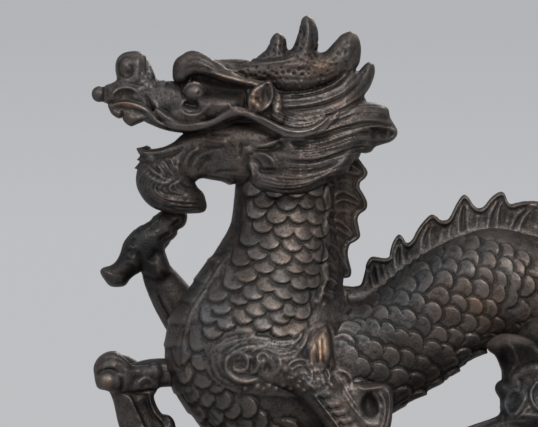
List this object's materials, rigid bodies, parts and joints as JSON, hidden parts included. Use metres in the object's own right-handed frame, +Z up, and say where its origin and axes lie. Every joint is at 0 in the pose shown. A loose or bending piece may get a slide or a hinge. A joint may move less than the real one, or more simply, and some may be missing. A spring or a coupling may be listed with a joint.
{
  "type": "dragon sculpture",
  "caption": "Small dark bronze Chinese dragon with antlers, flowing mane, scaled arched body and raised forepaw, standing on a low moulded plinth.",
  "frame": {"origin": "centre of the plinth's underside, at the middle of the whole object's box", "axes": "-X is the way the head faces, +X is towards the tail, +Z is up; the far flank is +Y"},
  "size_m": [0.2127, 0.074, 0.1616],
  "materials": {
    "dragon_bronze": "dark brown patinated bronze, satin, worn warm on the high points",
    "plinth_bronze": "dark brown patinated bronze, satin"
  },
  "bodies": {
    "root": {"dragon": "dragon_bronze", "plinth": "plinth_bronze"}
  },
  "joints": []
}
